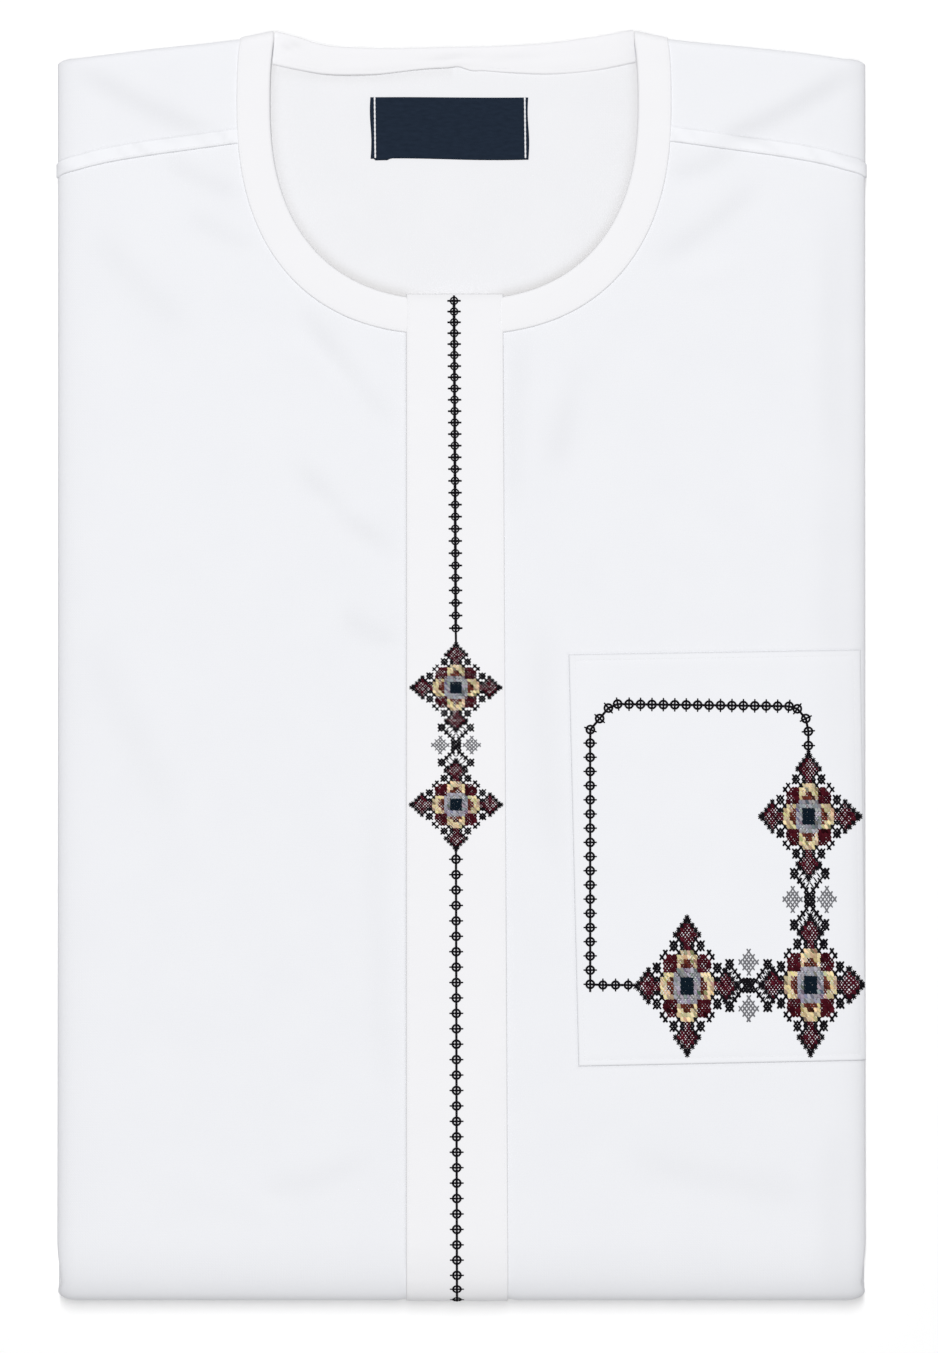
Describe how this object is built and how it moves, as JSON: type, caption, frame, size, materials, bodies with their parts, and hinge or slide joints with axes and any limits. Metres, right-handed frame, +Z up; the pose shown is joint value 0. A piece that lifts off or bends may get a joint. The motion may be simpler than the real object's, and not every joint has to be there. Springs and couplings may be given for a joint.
{
  "type": "folded kaftan",
  "caption": "Collarless white kaftan folded flat, with a round banded neck, an embroidered front placket and an embroidered patch pocket.",
  "frame": {"origin": "middle of the garment's outline, on the surface that it rests on", "axes": "+X to the right of someone who looks down on the front, +Y from the bottom fold to the neck, +Z up out of the front"},
  "size_m": [0.3238, 0.5088, 0.0193],
  "materials": {
    "white_poplin": "fine plain-woven white cotton blend with a soft matt surface",
    "white_trim": "interfaced white poplin, crisp and smoother than the body, topstitched in white",
    "hidden_cloth": "folded layers of the same white poplin, seen only at their edges",
    "navy_label": "dense woven satin ribbon in dark navy, plain",
    "embroidery_thread": "mercerised cross-stitch thread with a low sheen, mostly black"
  },
  "bodies": {
    "root": {"front_panel": "white_poplin", "yoke_left": "white_poplin", "yoke_right": "white_poplin", "back_panel": "white_poplin", "neck_band_left": "white_trim", "neck_band_right": "white_trim", "neck_band_back": "white_trim", "placket": "white_trim", "pocket": "white_poplin", "label": "navy_label", "folded_layers": "hidden_cloth"}
  },
  "joints": []
}
